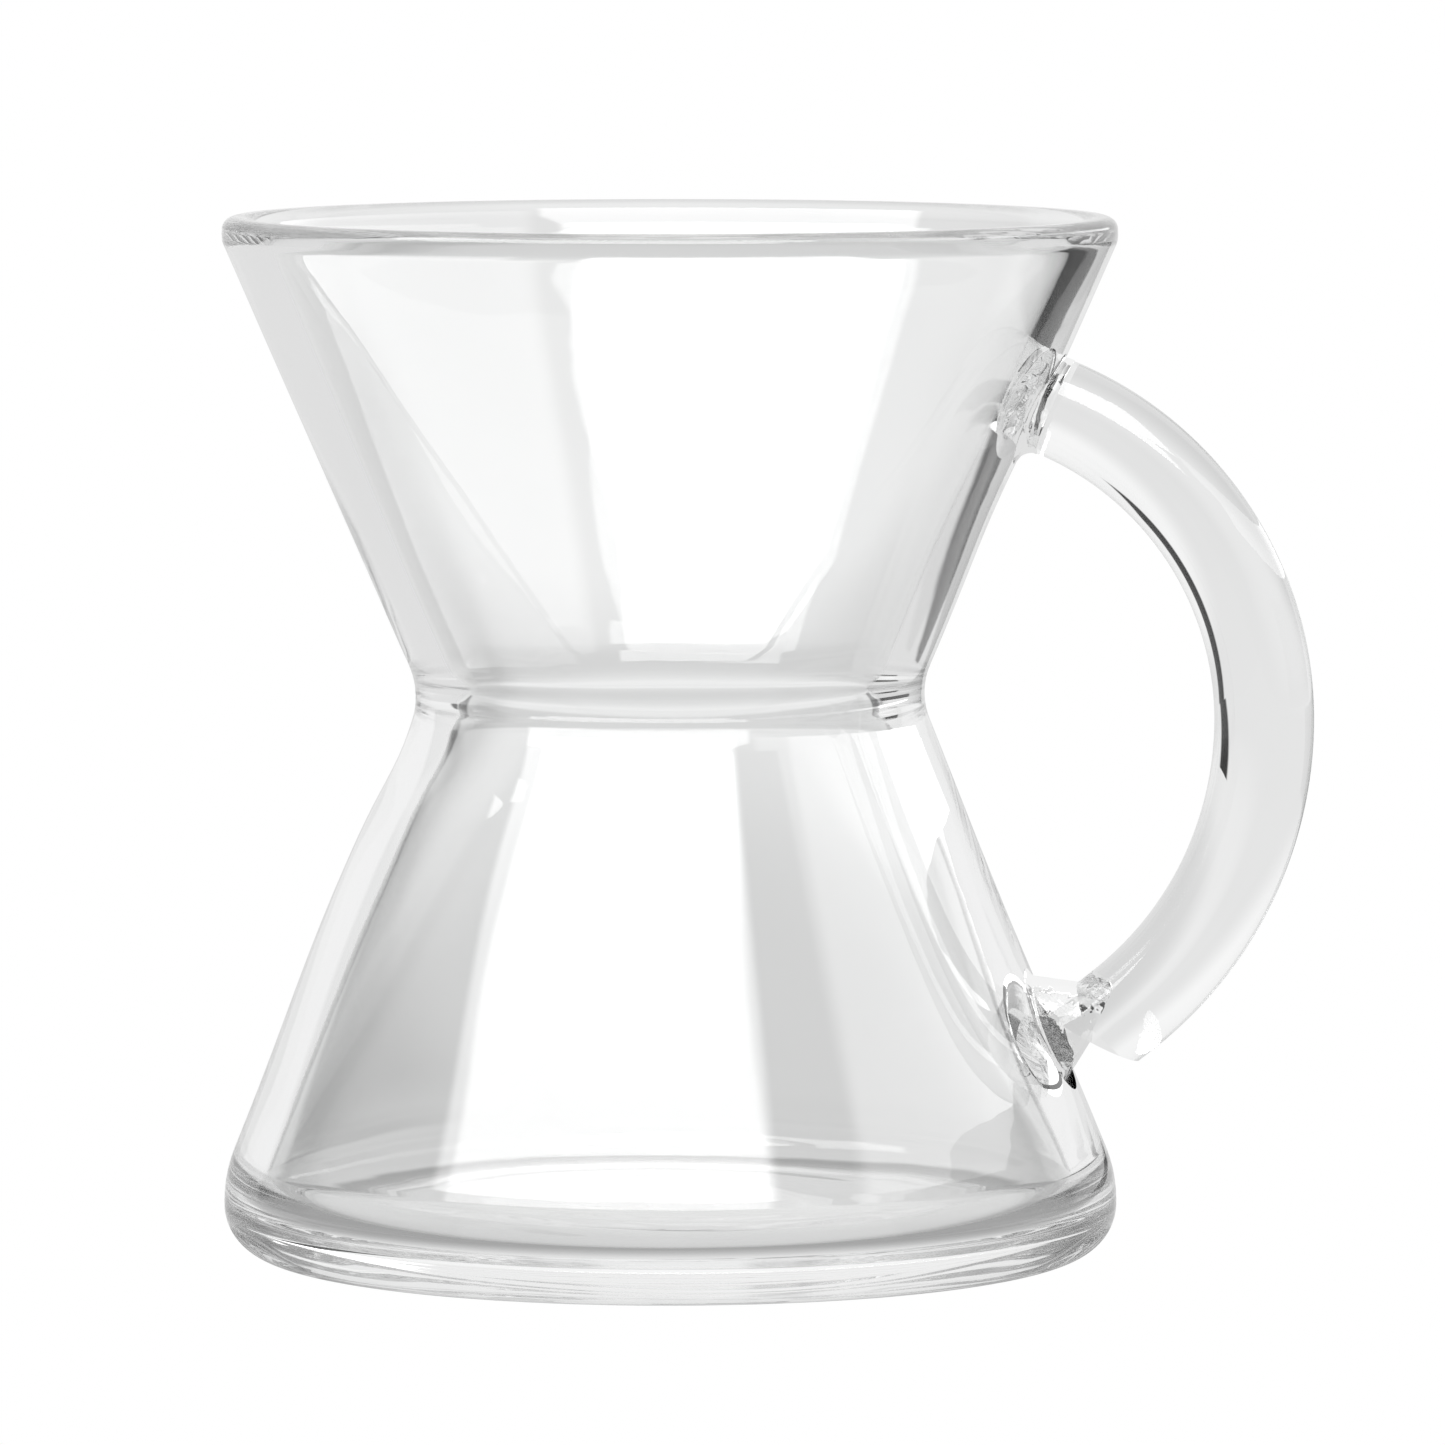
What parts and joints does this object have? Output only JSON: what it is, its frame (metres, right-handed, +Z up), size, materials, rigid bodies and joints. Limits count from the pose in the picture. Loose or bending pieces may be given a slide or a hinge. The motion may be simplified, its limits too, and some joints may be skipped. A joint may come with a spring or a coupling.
{
  "type": "pour over dripper",
  "caption": "Hourglass pour-over cup in clear glass: an open upper cone over a closed lower cone, with a bent glass rod as the handle.",
  "frame": {"origin": "on the cup's axis, in the plane of the base it stands on", "axes": "+Z up along the cup's axis to the rim, +X out through the handle, +Y across the handle"},
  "size_m": [0.1083, 0.0886, 0.1029],
  "materials": {
    "body_glass": "clear, fire-polished",
    "rod_glass": "clear solid rod, drawn and bent",
    "weld_glass": "clear, fused, with fine seeds and cords"
  },
  "bodies": {
    "root": {"glass_body": "body_glass", "handle_rod": "rod_glass", "upper_handle_weld": "weld_glass", "lower_handle_weld": "weld_glass"}
  },
  "joints": []
}
